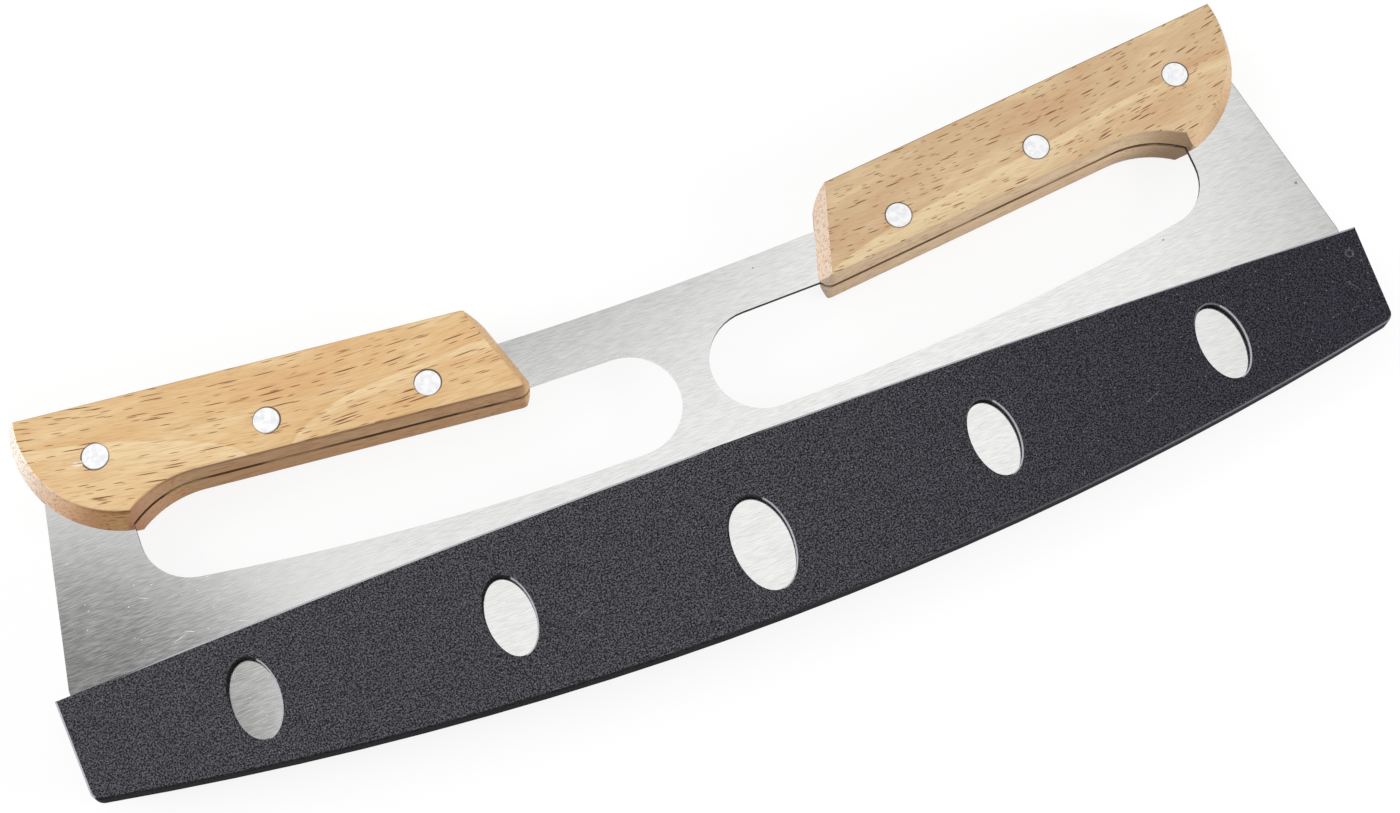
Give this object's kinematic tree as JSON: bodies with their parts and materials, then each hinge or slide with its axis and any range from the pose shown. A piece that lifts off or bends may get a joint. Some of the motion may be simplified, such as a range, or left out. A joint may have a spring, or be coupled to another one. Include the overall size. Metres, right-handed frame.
{
  "type": "rocking pizza knife",
  "caption": "Two-handed rocking knife for pizza and herbs: a long curved steel blade with a wooden grip at each end and a slide-on edge guard.",
  "frame": {"origin": "middle of the object's box across x and y, on the flat rear faces of the grips", "axes": "+X along the blade, to the right seen from the front; +Y from the cutting edge to the grips; +Z out of the front face"},
  "size_m": [0.3638, 0.118, 0.018],
  "materials": {
    "blade_steel": "brushed along the length",
    "grip_wood": "sanded and lightly oiled",
    "rivet_metal": "satin, ground flush",
    "guard_plastic": "fine moulded grain"
  },
  "bodies": {
    "knife": {"blade": "blade_steel", "left_rear_scale": "grip_wood", "left_front_scale": "grip_wood", "left_inner_rivet_pin": "rivet_metal", "left_inner_rivet_sleeve": "rivet_metal", "left_middle_rivet_pin": "rivet_metal", "left_middle_rivet_sleeve": "rivet_metal", "left_outer_rivet_pin": "rivet_metal", "left_outer_rivet_sleeve": "rivet_metal", "right_rear_scale": "grip_wood", "right_front_scale": "grip_wood", "right_inner_rivet_pin": "rivet_metal", "right_inner_rivet_sleeve": "rivet_metal", "right_middle_rivet_pin": "rivet_metal", "right_middle_rivet_sleeve": "rivet_metal", "right_outer_rivet_pin": "rivet_metal", "right_outer_rivet_sleeve": "rivet_metal"},
    "guard": {"blade_guard": "guard_plastic"}
  },
  "joints": [
    {"name": "guard_slide", "type": "slide", "parent": "knife", "child": "guard", "axis": [0, -1, 0], "range_m": [0, 0.05]}
  ]
}
